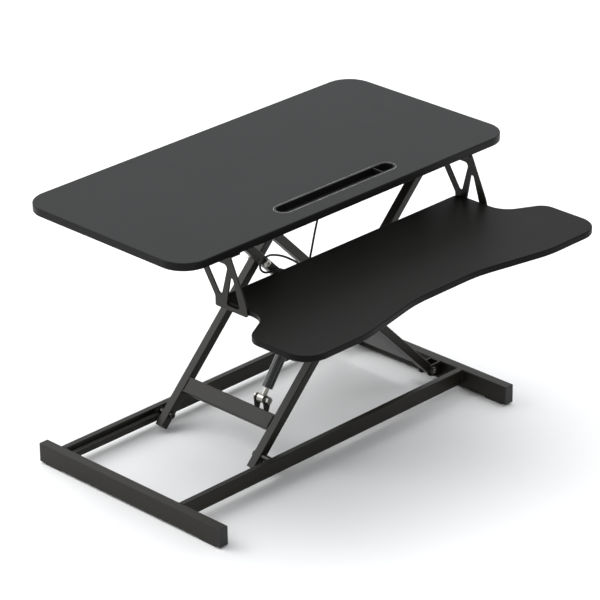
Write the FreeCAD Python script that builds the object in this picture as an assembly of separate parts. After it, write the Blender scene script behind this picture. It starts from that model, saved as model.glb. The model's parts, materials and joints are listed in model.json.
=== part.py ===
"""Standing desk converter: scissor lift, worktop and hung keyboard tray.

Axes: +X to the user's right, +Y to the back, +Z up, millimetres.  The model is
drawn with the worktop's middle 11 mm behind y = 0 and moved at the end, so that
the origin is the middle of the whole object's footprint, on the floor.  The lift
is drawn raised.  The outer frame is the pair of arms that roll in the base rails,
and the inner frame is the pair that is hinged to the base.
"""
import FreeCAD, Part
import math
import os

V = FreeCAD.Vector

# ---- overall sizes
raised_height = 516.0          # floor to the worktop's upper face
worktop_width = 800.0
worktop_depth = 400.0
worktop_middle = 11.0          # y of the worktop's middle
worktop_thickness = 15.0
worktop_corner = 50.0
board_edge_round = 2.0
tube_round = 1.8               # outer corners of every rectangular tube
slot_length = 280.0
slot_width = 30.0
slot_x = 6.0
slot_front_gap = 37.0          # worktop's front edge to the slot

# ---- base
foot_front_reach = 105.5       # foot's front end to the front rail
foot_rear_reach = 36.5         # rear rail to the foot's rear end
foot_width = 20.0
foot_height = 36.0
foot_inset = 28.5              # worktop's end to the outside of a foot
foot_wall = 1.5
cap_flange = 2.5
cap_insert = 14.0
pad_height = 3.0
pad_length = 40.0
pad_width = 16.0
pad_inset = 12.0
rail_height = 28.0
rail_width = 13.0
rail_wall = 1.5
rear_rail_gap = 11.0           # outer arm to the rear rail
front_rail_gap = 24.5          # front rail to the outer arm
window_overrun = 28.0          # roller window past each end of the travel
track_height = 8.5             # nylon running strip inside the rail

# ---- lift
base_hinge_reach = 23.5        # right foot to the base hinge
flat_margin = 31.5             # left foot to the rollers if the arms lay flat
arm_width = 18.0
arm_height = 16.0
arm_wall = 1.5
arm_gap = 1.5                  # washer between an outer and an inner arm
front_setback = 105.0          # worktop's front edge to the outer frame
rear_setback = 44.5            # outer frame to the worktop's back edge
outer_tail = 26.0              # outer arms' length past the roller
bolt_radius = 4.0
hole_clearance = 0.05
roller_radius = 8.0
roller_width = 9.0
roller_clearance = 0.1
channel_sheet = 1.5
channel_overrun = 24.0         # worktop channels past each end of the travel
channel_depth = 13.0
channel_gap = 1.0
roller_play = 0.3              # side play of a roller
spacer_radius = 6.0
outer_bar_start = 46.5         # from the roller to the lower crossbar
bar_width = 30.0
upper_bar_start = 60.0         # from a far pivot to the bar near it
inner_plate_start = 37.0       # from the base hinge to the lower plate
inner_plate_length = 160.0
plate_sheet = 2.0
plate_lip = 12.0
mid_bar_offset = 36.0          # from the centre pivot to the inner frame's middle bar

# ---- gas spring
spring_y = -28.0
spring_foot_s = 93.0           # lower pin, along the outer arm from its roller
spring_foot_n = 13.0           # lower pin, above the outer arm's middle line
spring_head_s = 48.6           # upper pin, along the inner arm past the centre pivot
spring_head_n = -5.5           # upper pin, below the inner arm's middle line
cylinder_radius = 10.0
cylinder_start = 20.0
cylinder_length = 122.0
cylinder_wall = 1.5
rod_radius = 4.0
spring_pin_radius = 4.0
clevis_gap = 20.0
ear_sheet = 3.0
head_width = 18.0
head_length = 40.0

# ---- worktop hinges, keyboard tray and lever
ear_clearance = 0.5
tray_drop = 97.0               # worktop's upper face to the tray's upper face
tray_thickness = 12.0
tray_neck_half = 293.0
tray_wing_half = 364.0
tray_depth = 274.0
tray_overlap = 32.0            # tray's back edge behind the worktop's front edge
tray_neck_length = 105.0
tray_wing_start = 143.0        # tray's back edge to its wings
tray_waist_depth = 32.0        # hollow in the middle of the front edge
hanger_sheet = 3.0
hanger_flange = 22.0
lever_setback = 57.0           # worktop's front edge to the lever's middle
lever_width = 28.0
lever_inset = 54.0             # worktop's right end to the lever's pin
lever_pin_radius = 2.5
cable_radius = 2.0

# ---- worked out from the sizes above
worktop_bottom = raised_height - worktop_thickness
worktop_front = worktop_middle - worktop_depth / 2
worktop_back = worktop_middle + worktop_depth / 2
outer_front_y = worktop_front + front_setback
outer_rear_y = worktop_back - rear_setback
front_rail_y = outer_front_y - front_rail_gap - rail_width / 2
rear_rail_y = outer_rear_y + rear_rail_gap + rail_width / 2
foot_front_y = front_rail_y - rail_width / 2 - foot_front_reach
foot_rear_y = rear_rail_y + rail_width / 2 + foot_rear_reach
foot_top = pad_height + foot_height
foot_x = worktop_width / 2 - foot_inset - foot_width / 2
foot_inner_x = foot_x - foot_width / 2
rail_bottom = foot_top - rail_height
rail_floor = rail_bottom + rail_wall + track_height
base_z = rail_floor + roller_radius + roller_clearance
hinge_x = foot_inner_x - base_hinge_reach
arm_length = hinge_x + foot_inner_x - flat_margin
top_z = worktop_bottom - channel_sheet - 2 * roller_clearance - roller_radius
rise = math.asin((top_z - base_z) / arm_length)
reach = arm_length * math.cos(rise)
roller_x = hinge_x - reach
flat_roller_x = hinge_x - arm_length
centre_x = hinge_x - reach / 2
centre_z = (base_z + top_z) / 2
half_arm = arm_length / 2
hole_radius = bolt_radius + hole_clearance
inner_front_y = outer_front_y + arm_width + arm_gap
inner_rear_y = outer_rear_y - arm_width - arm_gap
tray_top = raised_height - tray_drop
tray_bottom = tray_top - tray_thickness
tray_back = worktop_front + tray_overlap
tray_front = tray_back - tray_depth
depth_shift = -(min(tray_front, foot_front_y) + max(worktop_back, foot_rear_y)) / 2


# ---- helpers
def block(x0, x1, y0, y1, z0, z1):
    return Part.makeBox(x1 - x0, y1 - y0, z1 - z0, V(x0, y0, z0))


def rod_y(x, z, y0, y1, radius):
    return Part.makeCylinder(radius, y1 - y0, V(x, y0, z), V(0, 1, 0))


def rod_x(y, z, x0, x1, radius):
    return Part.makeCylinder(radius, x1 - x0, V(x0, y, z), V(1, 0, 0))


def rod_z(x, y, z0, z1, radius):
    return Part.makeCylinder(radius, z1 - z0, V(x, y, z0))


def ring_y(x, z, y0, y1, outer, inner):
    return rod_y(x, z, y0, y1, outer).cut(rod_y(x, z, y0 - 1, y1 + 1, inner))


def hex_y(x, z, y0, y1, across):
    """Hexagonal prism along y, with its size across flats."""
    corner = across / math.sqrt(3)
    points = [V(x + corner * math.cos(math.radians(60 * k)), y0,
                z + corner * math.sin(math.radians(60 * k))) for k in range(7)]
    return Part.Face(Part.makePolygon(points)).extrude(V(0, y1 - y0, 0))


def rounded_outline(corners):
    """Closed wire through (x, y, radius) corners, each rounded by its own radius."""
    edges = []
    count = len(corners)
    joints = []
    for k in range(count):
        x, y, radius = corners[k]
        here = V(x, y, 0)
        to_last = V(corners[k - 1][0], corners[k - 1][1], 0).sub(here).normalize()
        following = corners[(k + 1) % count]
        to_next = V(following[0], following[1], 0).sub(here).normalize()
        half = to_last.getAngle(to_next) / 2
        tangent = radius / math.tan(half)
        inward = (to_last + to_next).normalize()
        start = here + to_last * tangent
        end = here + to_next * tangent
        middle = here + inward * (radius / math.sin(half) - radius)
        joints.append((start, middle, end))
    for k in range(count):
        start, middle, end = joints[k]
        edges.append(Part.Arc(start, middle, end).toShape())
        following = joints[(k + 1) % count][0]
        if end.distanceToPoint(following) > 1e-6:
            edges.append(Part.LineSegment(end, following).toShape())
    return Part.Wire(Part.__sortEdges__(edges))


def plate_z(corners, z0, z1):
    wire = rounded_outline(corners)
    wire.translate(V(0, 0, z0))
    return Part.Face(wire).extrude(V(0, 0, z1 - z0))


def plate_x(corners, x0, x1):
    """Plate normal to x from (y, z, radius) corners."""
    shape = plate_z(corners, 0, x1 - x0)
    shape.rotate(V(0, 0, 0), V(1, 1, 1), 120)
    shape.translate(V(x0, 0, 0))
    return shape


def plate_y(corners, y0, y1):
    """Plate normal to y from (x, z, radius) corners, between two y values."""
    flat = rounded_outline(corners)
    flat.rotate(V(0, 0, 0), V(1, 0, 0), 90)
    flat.translate(V(0, y0, 0))
    return Part.Face(flat).extrude(V(0, y1 - y0, 0))


def turned(shape, origin, angle):
    """Turn a shape's own +X up by angle degrees, then move it to origin."""
    shape = shape.copy()
    shape.rotate(V(0, 0, 0), V(0, 1, 0), -angle)
    shape.translate(origin)
    return shape


def on_outer(shape):
    """From the outer arm's own frame: x along it from its roller, z its normal."""
    return turned(shape, V(roller_x, 0, base_z), math.degrees(rise))


def on_inner(shape):
    """From the inner arm's own frame: x along it from its hinge, z its underside."""
    return turned(shape, V(hinge_x, 0, base_z), 180 - math.degrees(rise))


def on_spring(shape):
    """From the spring's own frame: x along it from its lower pin."""
    return turned(shape, spring_foot, spring_angle)


def together(shapes):
    return Part.makeCompound(shapes)


def fused(shapes):
    first = shapes[0]
    return first.fuse(shapes[1:]).removeSplitter()


def along_edges(shape, axis):
    """Straight edges of a shape that run along one axis: 0 for x, 1 for y, 2 for z."""
    found = []
    for edge in shape.Edges:
        if len(edge.Vertexes) == 2:
            step = edge.Vertexes[1].Point.sub(edge.Vertexes[0].Point)
            others = [abs(step[k]) for k in range(3) if k != axis]
            if max(others) < 1e-6:
                found.append(edge)
    return found


def round_bar(x0, x1, y0, y1, z0, z1, axis):
    """Solid bar along one axis with rounded corners."""
    bar = block(x0, x1, y0, y1, z0, z1)
    return bar.makeFillet(tube_round, along_edges(bar, axis))


def rect_tube_x(x0, x1, y0, y1, z0, z1, wall):
    outer = round_bar(x0, x1, y0, y1, z0, z1, 0)
    return outer.cut(block(x0 - 1, x1 + 1, y0 + wall, y1 - wall, z0 + wall, z1 - wall))


def rect_tube_y(x0, x1, y0, y1, z0, z1, wall):
    outer = round_bar(x0, x1, y0, y1, z0, z1, 1)
    return outer.cut(block(x0 + wall, x1 - wall, y0 - 1, y1 + 1, z0 + wall, z1 - wall))


def bolt_y(x, z, y_head, y_end, head_radius=6.5, head_height=4.0, radius=bolt_radius):
    """Button-head bolt along y; the head stands on the y_head side."""
    way = 1 if y_end > y_head else -1
    shank = rod_y(x, z, min(y_head, y_end), max(y_head, y_end), radius)
    low = y_head - head_height if way > 0 else y_head
    head = rod_y(x, z, low, low + head_height, head_radius)
    outer_face = y_head - way * head_height
    rim = [e for e in head.Edges if abs(e.CenterOfMass.y - outer_face) < 1e-6
           and len(e.Vertexes) == 1]
    head = head.makeFillet(head_height * 0.45, rim)
    socket_end = outer_face + way * head_height * 0.6
    socket = hex_y(x, z, min(outer_face, socket_end) - 0.01 * (way > 0),
                   max(outer_face, socket_end) + 0.01 * (way < 0), radius)
    return fused([shank, head]).cut(socket)


def screw_z(x, y, z_head, depth, radius=2.0):
    """Pan-head screw that points up; its head hangs below z_head."""
    head_radius = radius * 2.0
    head = rod_z(x, y, z_head - radius, z_head, head_radius)
    rim = [e for e in head.Edges if abs(e.CenterOfMass.z - (z_head - radius)) < 1e-6
           and len(e.Vertexes) == 1]
    head = head.makeFillet(radius * 0.6, rim)
    slot = block(x - radius, x + radius, y - 0.4, y + 0.4, z_head - radius - 1, z_head - radius + 0.7)
    cross = block(x - 0.4, x + 0.4, y - radius, y + radius, z_head - radius - 1,
                  z_head - radius + 0.7)
    return fused([rod_z(x, y, z_head, z_head + depth, radius), head]).cut(slot).cut(cross)


def cord_tube(name, points, radius):
    """Tube along straight runs joined by tangent arcs as large as the runs allow."""
    lengths = [points[k].distanceToPoint(points[k + 1]) for k in range(len(points) - 1)]
    edges = []
    last = points[0]
    total = 0.0
    radii = []
    for k in range(1, len(points) - 1):
        here = points[k]
        back = points[k - 1].sub(here).normalize()
        ahead = points[k + 1].sub(here).normalize()
        turn = math.pi - back.getAngle(ahead)
        shorter = min(lengths[k - 1], lengths[k])
        bend = 0.45 * shorter / math.tan(turn / 2)
        cut = 0.45 * shorter
        start = here + back * cut
        end = here + ahead * cut
        inward = (back + ahead).normalize()
        middle = here + inward * (bend / math.cos(turn / 2) - bend)
        edges.append(Part.LineSegment(last, start).toShape())
        edges.append(Part.Arc(start, middle, end).toShape())
        radii.append(round(bend, 1))
        total += last.distanceToPoint(start) + bend * turn
        last = end
    edges.append(Part.LineSegment(last, points[-1]).toShape())
    total += last.distanceToPoint(points[-1])
    path = Part.Wire(edges)
    way = points[1].sub(points[0])
    circle = Part.Wire(Part.makeCircle(radius, points[0], way))
    shape = path.makePipeShell([circle], True, False)
    print(name, "length", round(total, 1), "radii", radii,
          "volume ratio", round(shape.Volume / (math.pi * radius ** 2 * total), 4))
    return shape


parts = {}

# ---- base: feet, caps, pads, rails and running strips
tube_ends = {-1: foot_front_y + cap_flange, 1: foot_rear_y - cap_flange}
for side, name in ((-1, "foot_left"), (1, "foot_right")):
    middle = side * foot_x
    parts[name] = rect_tube_y(middle - foot_width / 2, middle + foot_width / 2,
                              tube_ends[-1], tube_ends[1], pad_height, foot_top, foot_wall)


def foot_cap(side, end):
    """Plastic plug: a rounded flange on the tube's end and a ribbed insert inside it."""
    middle = side * foot_x
    face = tube_ends[end]
    flange = round_bar(middle - foot_width / 2, middle + foot_width / 2,
                       min(face, face + end * cap_flange), max(face, face + end * cap_flange),
                       pad_height, foot_top, 1)
    outer_face = face + end * cap_flange
    rim = [e for e in flange.Edges if abs(e.BoundBox.YMin - outer_face) < 1e-6
           and abs(e.BoundBox.YMax - outer_face) < 1e-6]
    flange = flange.makeFillet(cap_flange * 0.4, rim)
    insert_half = foot_width / 2 - foot_wall - 0.1
    insert = block(middle - insert_half, middle + insert_half,
                   min(face, face - end * cap_insert), max(face, face - end * cap_insert),
                   pad_height + foot_wall + 0.1, foot_top - foot_wall - 0.1)
    return fused([flange, insert])


def foot_pad(side, end):
    """Rubber pad under one end of a foot, with softened lower edges."""
    middle = side * foot_x
    far = (foot_rear_y if end > 0 else foot_front_y) - end * pad_inset
    near = far - end * pad_length
    pad = block(middle - pad_width / 2, middle + pad_width / 2, min(far, near), max(far, near),
                0, pad_height)
    lower = [e for e in pad.Edges if e.BoundBox.ZMax < 1e-6]
    return pad.makeFillet(1.0, lower)


corners_of_base = [(side, end) for side in (-1, 1) for end in (-1, 1)]
parts["foot_end_caps"] = together([foot_cap(*corner) for corner in corners_of_base])
parts["foot_pads"] = together([foot_pad(*corner) for corner in corners_of_base])

window_left = flat_roller_x - window_overrun
window_right = roller_x + window_overrun


def rail(middle, inner_side):
    """Box rail whose inner wall is open from the running strip up to its roof."""
    tube = rect_tube_x(-foot_inner_x, foot_inner_x, middle - rail_width / 2,
                       middle + rail_width / 2, rail_bottom, foot_top, rail_wall)
    wall = middle + inner_side * rail_width / 2
    window = block(window_left, window_right, wall - rail_wall - 0.01, wall + rail_wall + 0.01,
                   rail_floor, foot_top - rail_wall)
    return tube.cut(window)


def running_strip(middle):
    half = rail_width / 2 - rail_wall
    return block(window_left, window_right, middle - half, middle + half,
                 rail_bottom + rail_wall, rail_floor)


parts["front_rail"] = rail(front_rail_y, 1)
parts["rear_rail"] = rail(rear_rail_y, -1)
parts["running_strips"] = together([running_strip(y) for y in (front_rail_y, rear_rail_y)])

# ---- base hinges for the inner frame
bracket_bottom = rail_bottom + 1.0
ear_round = 10.0


def base_bracket(arm_y):
    """U-shaped steel bracket on the right foot; its two ears hold one inner arm."""
    near = arm_y - ear_clearance - ear_sheet
    far = arm_y + arm_width + ear_clearance + ear_sheet
    back = block(foot_inner_x - ear_sheet, foot_inner_x, near, far, bracket_bottom, foot_top)
    shapes = [back]
    outline = [(foot_inner_x - ear_sheet, bracket_bottom, 0.5),
               (hinge_x - ear_round, base_z - ear_round, ear_round * 0.9),
               (hinge_x - ear_round, foot_top, ear_round * 0.9),
               (foot_inner_x - ear_sheet, foot_top, 0.5)]
    for y in (near, far - ear_sheet):
        ear = plate_y(outline, y, y + ear_sheet)
        shapes.append(ear.cut(rod_y(hinge_x, base_z, y - 1, y + ear_sheet + 1, hole_radius)))
    return fused(shapes)


def hinge_fasteners(x, z, arm_y, head_side):
    """Bolt and nut through both ears of a hinge; the head is on head_side."""
    near = arm_y - ear_clearance - ear_sheet
    far = arm_y + arm_width + ear_clearance + ear_sheet
    head_face, nut_face = (near, far) if head_side < 0 else (far, near)
    way = 1 if nut_face > head_face else -1
    bolt = bolt_y(x, z, head_face, nut_face + way * 7.5)
    nut_low = nut_face if way > 0 else nut_face - 6.0
    nut = hex_y(x, z, nut_low, nut_low + 6.0, 13.0)
    return [bolt, nut.cut(rod_y(x, z, nut_low - 1, nut_low + 7, bolt_radius))]


inner_arm_ys = (inner_front_y, inner_rear_y - arm_width)
outer_arm_ys = (outer_front_y, outer_rear_y - arm_width)
parts["base_hinge_brackets"] = together([base_bracket(arm_y) for arm_y in inner_arm_ys])
parts["base_hinge_fasteners"] = together(
    hinge_fasteners(hinge_x, base_z, inner_arm_ys[0], 1)
    + hinge_fasteners(hinge_x, base_z, inner_arm_ys[1], -1))


# ---- arms
def arm(y0, start, end, round_start, round_end, holes):
    """Rectangular tube along x, with laser-cut round ends where it is hinged."""
    half = arm_height / 2
    first = start - (half if round_start else 0)
    last = end + (half if round_end else 0)
    solid = round_bar(first, last, y0, y0 + arm_width, -half, half, 0)
    if round_start:
        keep = fused([block(start, last + 1, y0, y0 + arm_width, -half, half),
                      rod_y(start, 0, y0, y0 + arm_width, half)])
        solid = solid.common(keep)
    if round_end:
        keep = fused([block(first - 1, end, y0, y0 + arm_width, -half, half),
                      rod_y(end, 0, y0, y0 + arm_width, half)])
        solid = solid.common(keep)
    hollow = block(first - 1, last + 1, y0 + arm_wall, y0 + arm_width - arm_wall,
                   -half + arm_wall, half - arm_wall)
    solid = solid.cut(hollow)
    for s in holes:
        solid = solid.cut(rod_y(s, 0, y0 - 1, y0 + arm_width + 1, hole_radius))
    return solid


def hinge_bush(y0, s, way):
    """Nylon block inside a round arm end, bored for the hinge bolt."""
    half = arm_height / 2 - arm_wall - 0.1
    body = block(min(s, s - way * 14), max(s, s - way * 14), y0 + arm_wall + 0.1,
                 y0 + arm_width - arm_wall - 0.1, -half, half)
    nose = rod_y(s, 0, y0 + arm_wall + 0.1, y0 + arm_width - arm_wall - 0.1, half)
    return fused([body, nose]).cut(rod_y(s, 0, y0, y0 + arm_width, hole_radius))


def tail_plug(y0, s):
    """Plastic plug in an outer arm's square lower end."""
    half = arm_height / 2
    flange = round_bar(s - 2.0, s, y0, y0 + arm_width, -half, half, 0)
    rim = [e for e in flange.Edges if abs(e.BoundBox.XMax - (s - 2.0)) < 1e-6]
    flange = flange.makeFillet(0.8, rim)
    inner = half - arm_wall - 0.1
    insert = block(s, s + 12.0, y0 + arm_wall + 0.1, y0 + arm_width - arm_wall - 0.1,
                   -inner, inner)
    return fused([flange, insert])


for name, y0 in zip(("front", "rear"), inner_arm_ys):
    parts["inner_arm_" + name] = on_inner(arm(y0, 0, arm_length, True, True,
                                              (0, half_arm, arm_length)))
for name, y0 in zip(("front", "rear"), outer_arm_ys):
    parts["outer_arm_" + name] = on_outer(arm(y0, 2.0 - outer_tail, arm_length, False, True,
                                              (0, half_arm, arm_length)))
parts["inner_arm_bushes"] = on_inner(together(
    [hinge_bush(y0, s, way) for y0 in inner_arm_ys for s, way in ((0, -1), (arm_length, 1))]))
parts["outer_arm_inserts"] = on_outer(together(
    [hinge_bush(y0, arm_length, 1) for y0 in outer_arm_ys]
    + [tail_plug(y0, 2.0 - outer_tail) for y0 in outer_arm_ys]))

# ---- crossbars and plates that tie each pair of arms together
half_height = arm_height / 2
outer_inside = (outer_front_y + arm_width, outer_rear_y - arm_width)
inner_inside = (inner_front_y + arm_width, inner_rear_y - arm_width)


def crossbar(start, inside):
    return rect_tube_y(start, start + bar_width, inside[0], inside[1],
                       -half_height, half_height, arm_wall)


parts["outer_lower_bar"] = on_outer(crossbar(outer_bar_start, outer_inside))
parts["outer_upper_bar"] = on_outer(crossbar(arm_length - upper_bar_start - bar_width,
                                             outer_inside))
parts["inner_upper_bar"] = on_inner(crossbar(arm_length - upper_bar_start - bar_width,
                                             inner_inside))
mid_bar_start = half_arm - mid_bar_offset - bar_width
parts["inner_middle_bar"] = on_inner(crossbar(mid_bar_start, inner_inside))


def lower_plate():
    """Wide sheet under the inner arms' lower ends, with two turned-up lips."""
    x0, x1 = inner_plate_start, inner_plate_start + inner_plate_length
    y0, y1 = inner_inside
    sheet = block(x0, x1, y0, y1, half_height - plate_sheet, half_height)
    lips = [block(x, x + plate_sheet, y0, y1, half_height - plate_lip, half_height)
            for x in (x0, x1 - plate_sheet)]
    plate = fused([sheet] + lips)
    hole_x = x0 + inner_plate_length * 0.7
    for y in (y0 + 24.0, y1 - 24.0):
        plate = plate.cut(rod_z(hole_x, y, half_height - plate_sheet - 1, half_height + 1, 4.0))
    return plate


parts["inner_lower_plate"] = on_inner(lower_plate())

# ---- centre pivots
front_pair = (outer_front_y, inner_front_y + arm_width)
rear_pair = (inner_rear_y - arm_width, outer_rear_y)
centre_bolts, centre_nuts, centre_washers = [], [], []
for head_face, nut_face, washer_y in (
        (front_pair[1], front_pair[0], outer_front_y + arm_width),
        (rear_pair[0], rear_pair[1], inner_rear_y)):
    way = 1 if nut_face > head_face else -1
    centre_bolts.append(bolt_y(centre_x, centre_z, head_face, nut_face + way * 7.5, 7.5, 4.5))
    low = nut_face if way > 0 else nut_face - 6.0
    centre_nuts.append(hex_y(centre_x, centre_z, low, low + 6.0, 13.0)
                       .cut(rod_y(centre_x, centre_z, low - 1, low + 7, bolt_radius)))
    centre_washers.append(ring_y(centre_x, centre_z, washer_y + 0.1, washer_y + arm_gap - 0.1,
                                 8.0, hole_radius))
parts["centre_pivot_bolts"] = together(centre_bolts)
parts["centre_pivot_nuts"] = together(centre_nuts)
parts["centre_pivot_washers"] = together(centre_washers)


# ---- rollers that run in the base rails and in the worktop channels
def roller(x, z, middle):
    """Nylon wheel with a small groove turned in each side face."""
    wheel = rod_y(x, z, middle - roller_width / 2, middle + roller_width / 2, roller_radius)
    rims = [e for e in wheel.Edges if len(e.Vertexes) == 1]
    wheel = wheel.makeFillet(0.8, rims)
    for face, way in ((middle - roller_width / 2, 1), (middle + roller_width / 2, -1)):
        low = min(face, face + way * 0.6)
        wheel = wheel.cut(ring_y(x, z, low - (0.01 if way > 0 else 0),
                                 low + 0.6 + (0.01 if way < 0 else 0), 6.4, 5.4))
    return wheel.cut(rod_y(x, z, middle - roller_width, middle + roller_width, hole_radius))


def rail_roller_y(middle, inward):
    """Middle of a roller that runs just inside the mouth of a rail."""
    return middle + inward * (rail_width / 2 - roller_play - roller_width / 2)


front_roller_y = rail_roller_y(front_rail_y, 1)
rear_roller_y = rail_roller_y(rear_rail_y, -1)
parts["front_rail_roller"] = roller(roller_x, base_z, front_roller_y)
parts["rear_rail_roller"] = roller(roller_x, base_z, rear_roller_y)


def stub_axle(x, z, arm_y, roller_y):
    """Turned axle through an arm, with a collar that keeps the roller off the arm."""
    outward = 1 if roller_y > arm_y else -1
    inner_face = arm_y if outward > 0 else arm_y + arm_width
    arm_face = arm_y + arm_width if outward > 0 else arm_y
    collar_face = roller_y - outward * (roller_width / 2 + roller_play)
    end = roller_y + outward * roller_width / 2
    collar = rod_y(x, z, min(arm_face, collar_face), max(arm_face, collar_face), spacer_radius)
    return fused([bolt_y(x, z, inner_face, end), collar])


parts["rail_roller_axles"] = together([
    stub_axle(roller_x, base_z, arm_y, y)
    for arm_y, y in zip(outer_arm_ys, (front_roller_y, rear_roller_y))])


def channel_faces(arm_y, outward):
    """Open edge and outer edge, in y, of the channel beside one inner arm."""
    edge = arm_y + arm_width if outward > 0 else arm_y
    opening = edge + outward * channel_gap
    return opening, opening + outward * channel_depth


channel_left = flat_roller_x - channel_overrun
channel_right = roller_x + channel_overrun


def worktop_channel(arm_y, outward):
    """C-shaped channel under the worktop, open towards its arm."""
    opening, outer = channel_faces(arm_y, outward)
    y0, y1 = min(opening, outer), max(opening, outer)
    roof = worktop_bottom - channel_sheet
    floor = top_z - roller_radius - 2 * roller_clearance
    bar = block(channel_left, channel_right, y0, y1, floor - channel_sheet, worktop_bottom)
    inside_outer = outer - outward * channel_sheet
    inside = block(channel_left - 1, channel_right + 1, min(opening - outward, inside_outer),
                   max(opening - outward, inside_outer), floor, roof)
    stops = [block(x, x + channel_sheet, y0, y1, floor - channel_sheet, worktop_bottom)
             for x in (channel_left, channel_right - channel_sheet)]
    return fused([bar.cut(inside)] + stops)


channel_axles = []
for name, arm_y, outward in (("front", inner_arm_ys[0], -1), ("rear", inner_arm_ys[1], 1)):
    opening, outer = channel_faces(arm_y, outward)
    parts[name + "_channel"] = worktop_channel(arm_y, outward)
    middle = outer - outward * (channel_sheet + roller_play + roller_width / 2)
    parts[name + "_channel_roller"] = roller(roller_x, top_z, middle)
    channel_axles.append(stub_axle(roller_x, top_z, arm_y, middle))
parts["channel_roller_axles"] = together(channel_axles)


# ---- worktop and its slot
def worktop_board():
    left, right = -worktop_width / 2, worktop_width / 2
    corners = [(left, worktop_front, worktop_corner), (right, worktop_front, worktop_corner),
               (right, worktop_back, worktop_corner), (left, worktop_back, worktop_corner)]
    board = plate_z(corners, worktop_bottom, raised_height)
    rims = [e for e in board.Edges if e.BoundBox.ZLength < 1e-6]
    board = board.makeFillet(board_edge_round, rims)
    rebate = slot_solid(slot_width / 2 + slot_rim + rim_clearance,
                        raised_height - slot_rim_height, raised_height + 1)
    slot = slot_solid(slot_width / 2, worktop_bottom - 1, raised_height + 1)
    return board.cut(slot).cut(rebate)


slot_y = worktop_front + slot_front_gap + slot_width / 2
slot_half = slot_length / 2


def slot_solid(radius, z0, z1):
    """Long round-ended solid on the slot's middle line."""
    straight = slot_half - slot_width / 2
    return fused([block(slot_x - straight, slot_x + straight, slot_y - radius,
                        slot_y + radius, z0, z1),
                  rod_z(slot_x - straight, slot_y, z0, z1, radius),
                  rod_z(slot_x + straight, slot_y, z0, z1, radius)])


slot_rim = 2.5
slot_rim_height = 0.6
rim_clearance = 0.1
slot_wall = 1.6
compartment_length = 34.0      # cable compartment at the slot's right-hand end
divider_x = slot_x + slot_half - compartment_length
divider_half = 1.2
cable_hole_radius = 4.0
cable_hole_xs = (divider_x + 8.0, divider_x + 18.0)


def slot_tray():
    """Moulded tray for a tablet: rim flush in a rebate, divider and a cable hole."""
    radius = slot_width / 2 - rim_clearance
    floor = worktop_bottom + 2.0
    rim = slot_solid(slot_width / 2 + slot_rim, raised_height - slot_rim_height, raised_height)
    body = slot_solid(radius, floor - slot_wall, raised_height)
    pocket = slot_solid(radius - slot_wall, floor, raised_height + 1)
    shell = fused([rim, body]).cut(pocket)
    divider = block(divider_x - divider_half, divider_x + divider_half, slot_y - radius,
                    slot_y + radius, floor - slot_wall, raised_height - 1.5)
    shell = fused([shell, divider])
    under, over = floor - slot_wall - 1, floor + 1
    first, last = cable_hole_xs
    hole = fused([block(first, last, slot_y - cable_hole_radius, slot_y + cable_hole_radius,
                        under, over),
                  rod_z(first, slot_y, under, over, cable_hole_radius),
                  rod_z(last, slot_y, under, over, cable_hole_radius)])
    return shell.cut(hole)


parts["worktop"] = worktop_board()
parts["slot_tray"] = slot_tray()


# ---- hinges that carry the outer frame's upper ends
def worktop_hinge(arm_y):
    """Two angle brackets, one each side of an outer arm, each with a foot flange."""
    shapes = []
    for outward in (-1, 1):
        face = arm_y - ear_clearance if outward < 0 else arm_y + arm_width + ear_clearance
        far = face + outward * ear_sheet
        edge = far + outward * 16.0
        outline = [(hinge_x - 19.0, worktop_bottom, 0.5), (hinge_x + 19.0, worktop_bottom, 0.5),
                   (hinge_x + ear_round, top_z - ear_round, ear_round * 0.9),
                   (hinge_x - ear_round, top_z - ear_round, ear_round * 0.9)]
        ear = plate_y(outline, min(face, far), max(face, far))
        ear = ear.cut(rod_y(hinge_x, top_z, min(face, far) - 1, max(face, far) + 1,
                            hole_radius))
        flange = block(hinge_x - 19.0, hinge_x + 19.0, min(far, edge), max(far, edge),
                       worktop_bottom - ear_sheet, worktop_bottom)
        for dx in (-12.0, 12.0):
            flange = flange.cut(rod_z(hinge_x + dx, (far + edge) / 2 + outward * 1.5,
                                      worktop_bottom - ear_sheet - 1, worktop_bottom + 1, 2.3))
        shapes.append(fused([ear, flange]))
    return shapes


parts["worktop_hinge_brackets"] = together(
    worktop_hinge(outer_arm_ys[0]) + worktop_hinge(outer_arm_ys[1]))
parts["worktop_hinge_fasteners"] = together(
    hinge_fasteners(hinge_x, top_z, outer_arm_ys[0], -1)
    + hinge_fasteners(hinge_x, top_z, outer_arm_ys[1], 1))

# ---- keyboard tray on its two hangers
tray_corners_right = [(tray_neck_half, tray_back, 12.0),
                      (tray_neck_half, tray_back - tray_neck_length, 45.0),
                      (tray_wing_half, tray_back - tray_wing_start, 30.0),
                      (tray_wing_half, tray_front, 45.0),
                      (tray_wing_half * 0.62, tray_front, 220.0),
                      (tray_wing_half * 0.21, tray_front + tray_waist_depth, 260.0)]


def keyboard_tray():
    left = [(-x, y, radius) for x, y, radius in reversed(tray_corners_right)]
    board = plate_z(tray_corners_right + left, tray_bottom, tray_top)
    rims = [e for e in board.Edges if e.BoundBox.ZLength < 1e-6]
    return board.makeFillet(board_edge_round, rims)


parts["keyboard_tray"] = keyboard_tray()
hanger_top_back = worktop_front + 88.0
hanger_top_front = worktop_front
hanger_knee = tray_back + 5.0
hanger_foot_front = worktop_front - 38.0
hanger_foot = tray_bottom - hanger_sheet
hanger_knee_z = tray_top + 3.0


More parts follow.
